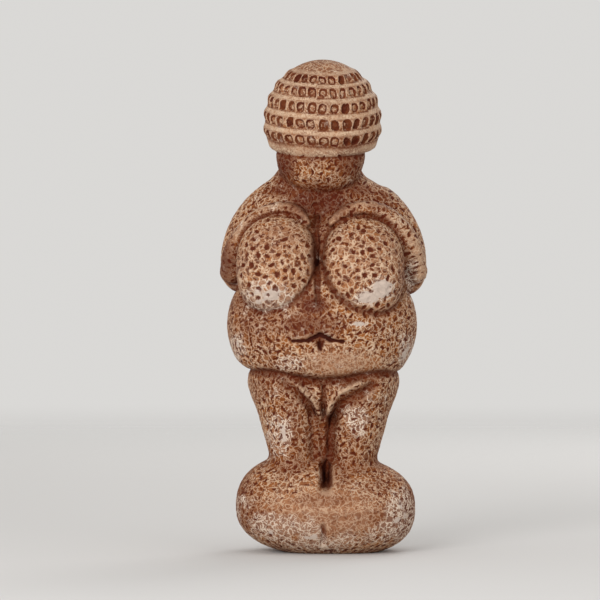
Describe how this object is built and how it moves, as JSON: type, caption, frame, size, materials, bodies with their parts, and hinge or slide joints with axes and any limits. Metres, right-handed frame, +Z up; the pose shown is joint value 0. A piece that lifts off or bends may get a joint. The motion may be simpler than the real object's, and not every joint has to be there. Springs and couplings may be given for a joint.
{
  "type": "venus figurine",
  "caption": "Palm-sized souvenir venus figurine: a full-bodied standing figure with folded arms, notched cap and blank face, cast whole with its rounded foot.",
  "frame": {"origin": "middle of the flat underside of the foot", "axes": "+Z up through the figure to the crown; the figure faces -Y; +X is to the right of someone who looks at its front"},
  "size_m": [0.0418, 0.0304, 0.1],
  "materials": {
    "antiqued_resin": "stone-filled resin, warm tan with a red-brown wash in the recesses and cream rubbed over the high places, satin"
  },
  "bodies": {
    "root": {"figurine": "antiqued_resin"}
  },
  "joints": []
}
